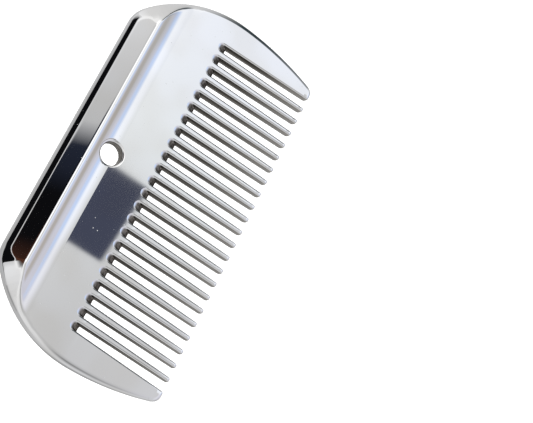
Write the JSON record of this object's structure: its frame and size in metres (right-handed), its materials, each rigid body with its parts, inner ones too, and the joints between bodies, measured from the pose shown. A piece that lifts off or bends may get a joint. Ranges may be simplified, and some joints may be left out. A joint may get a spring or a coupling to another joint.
{
  "type": "grooming comb",
  "caption": "One-piece polished metal grooming comb with a thick ridged spine, a flat web with a hanging hole, coarse tapering teeth and a wide curved guard tooth at each end",
  "frame": {"origin": "on the axis of the hanging hole, in the middle of the comb's thickness", "axes": "X along the comb's length, +Z from the teeth to the spine, the front face looks to -Y"},
  "size_m": [0.1016, 0.0084, 0.053],
  "materials": {
    "polished_metal": "mirror-polished cast metal"
  },
  "bodies": {
    "root": {"spine": "polished_metal", "web_plate": "polished_metal", "end_tooth_left": "polished_metal", "end_tooth_right": "polished_metal", "tooth_01": "polished_metal", "tooth_02": "polished_metal", "tooth_03": "polished_metal", "tooth_04": "polished_metal", "tooth_05": "polished_metal", "tooth_06": "polished_metal", "tooth_07": "polished_metal", "tooth_08": "polished_metal", "tooth_09": "polished_metal", "tooth_10": "polished_metal", "tooth_11": "polished_metal", "tooth_12": "polished_metal", "tooth_13": "polished_metal", "tooth_14": "polished_metal", "tooth_15": "polished_metal", "tooth_16": "polished_metal", "tooth_17": "polished_metal", "tooth_18": "polished_metal", "tooth_19": "polished_metal", "tooth_20": "polished_metal", "tooth_21": "polished_metal", "tooth_22": "polished_metal"}
  },
  "joints": []
}
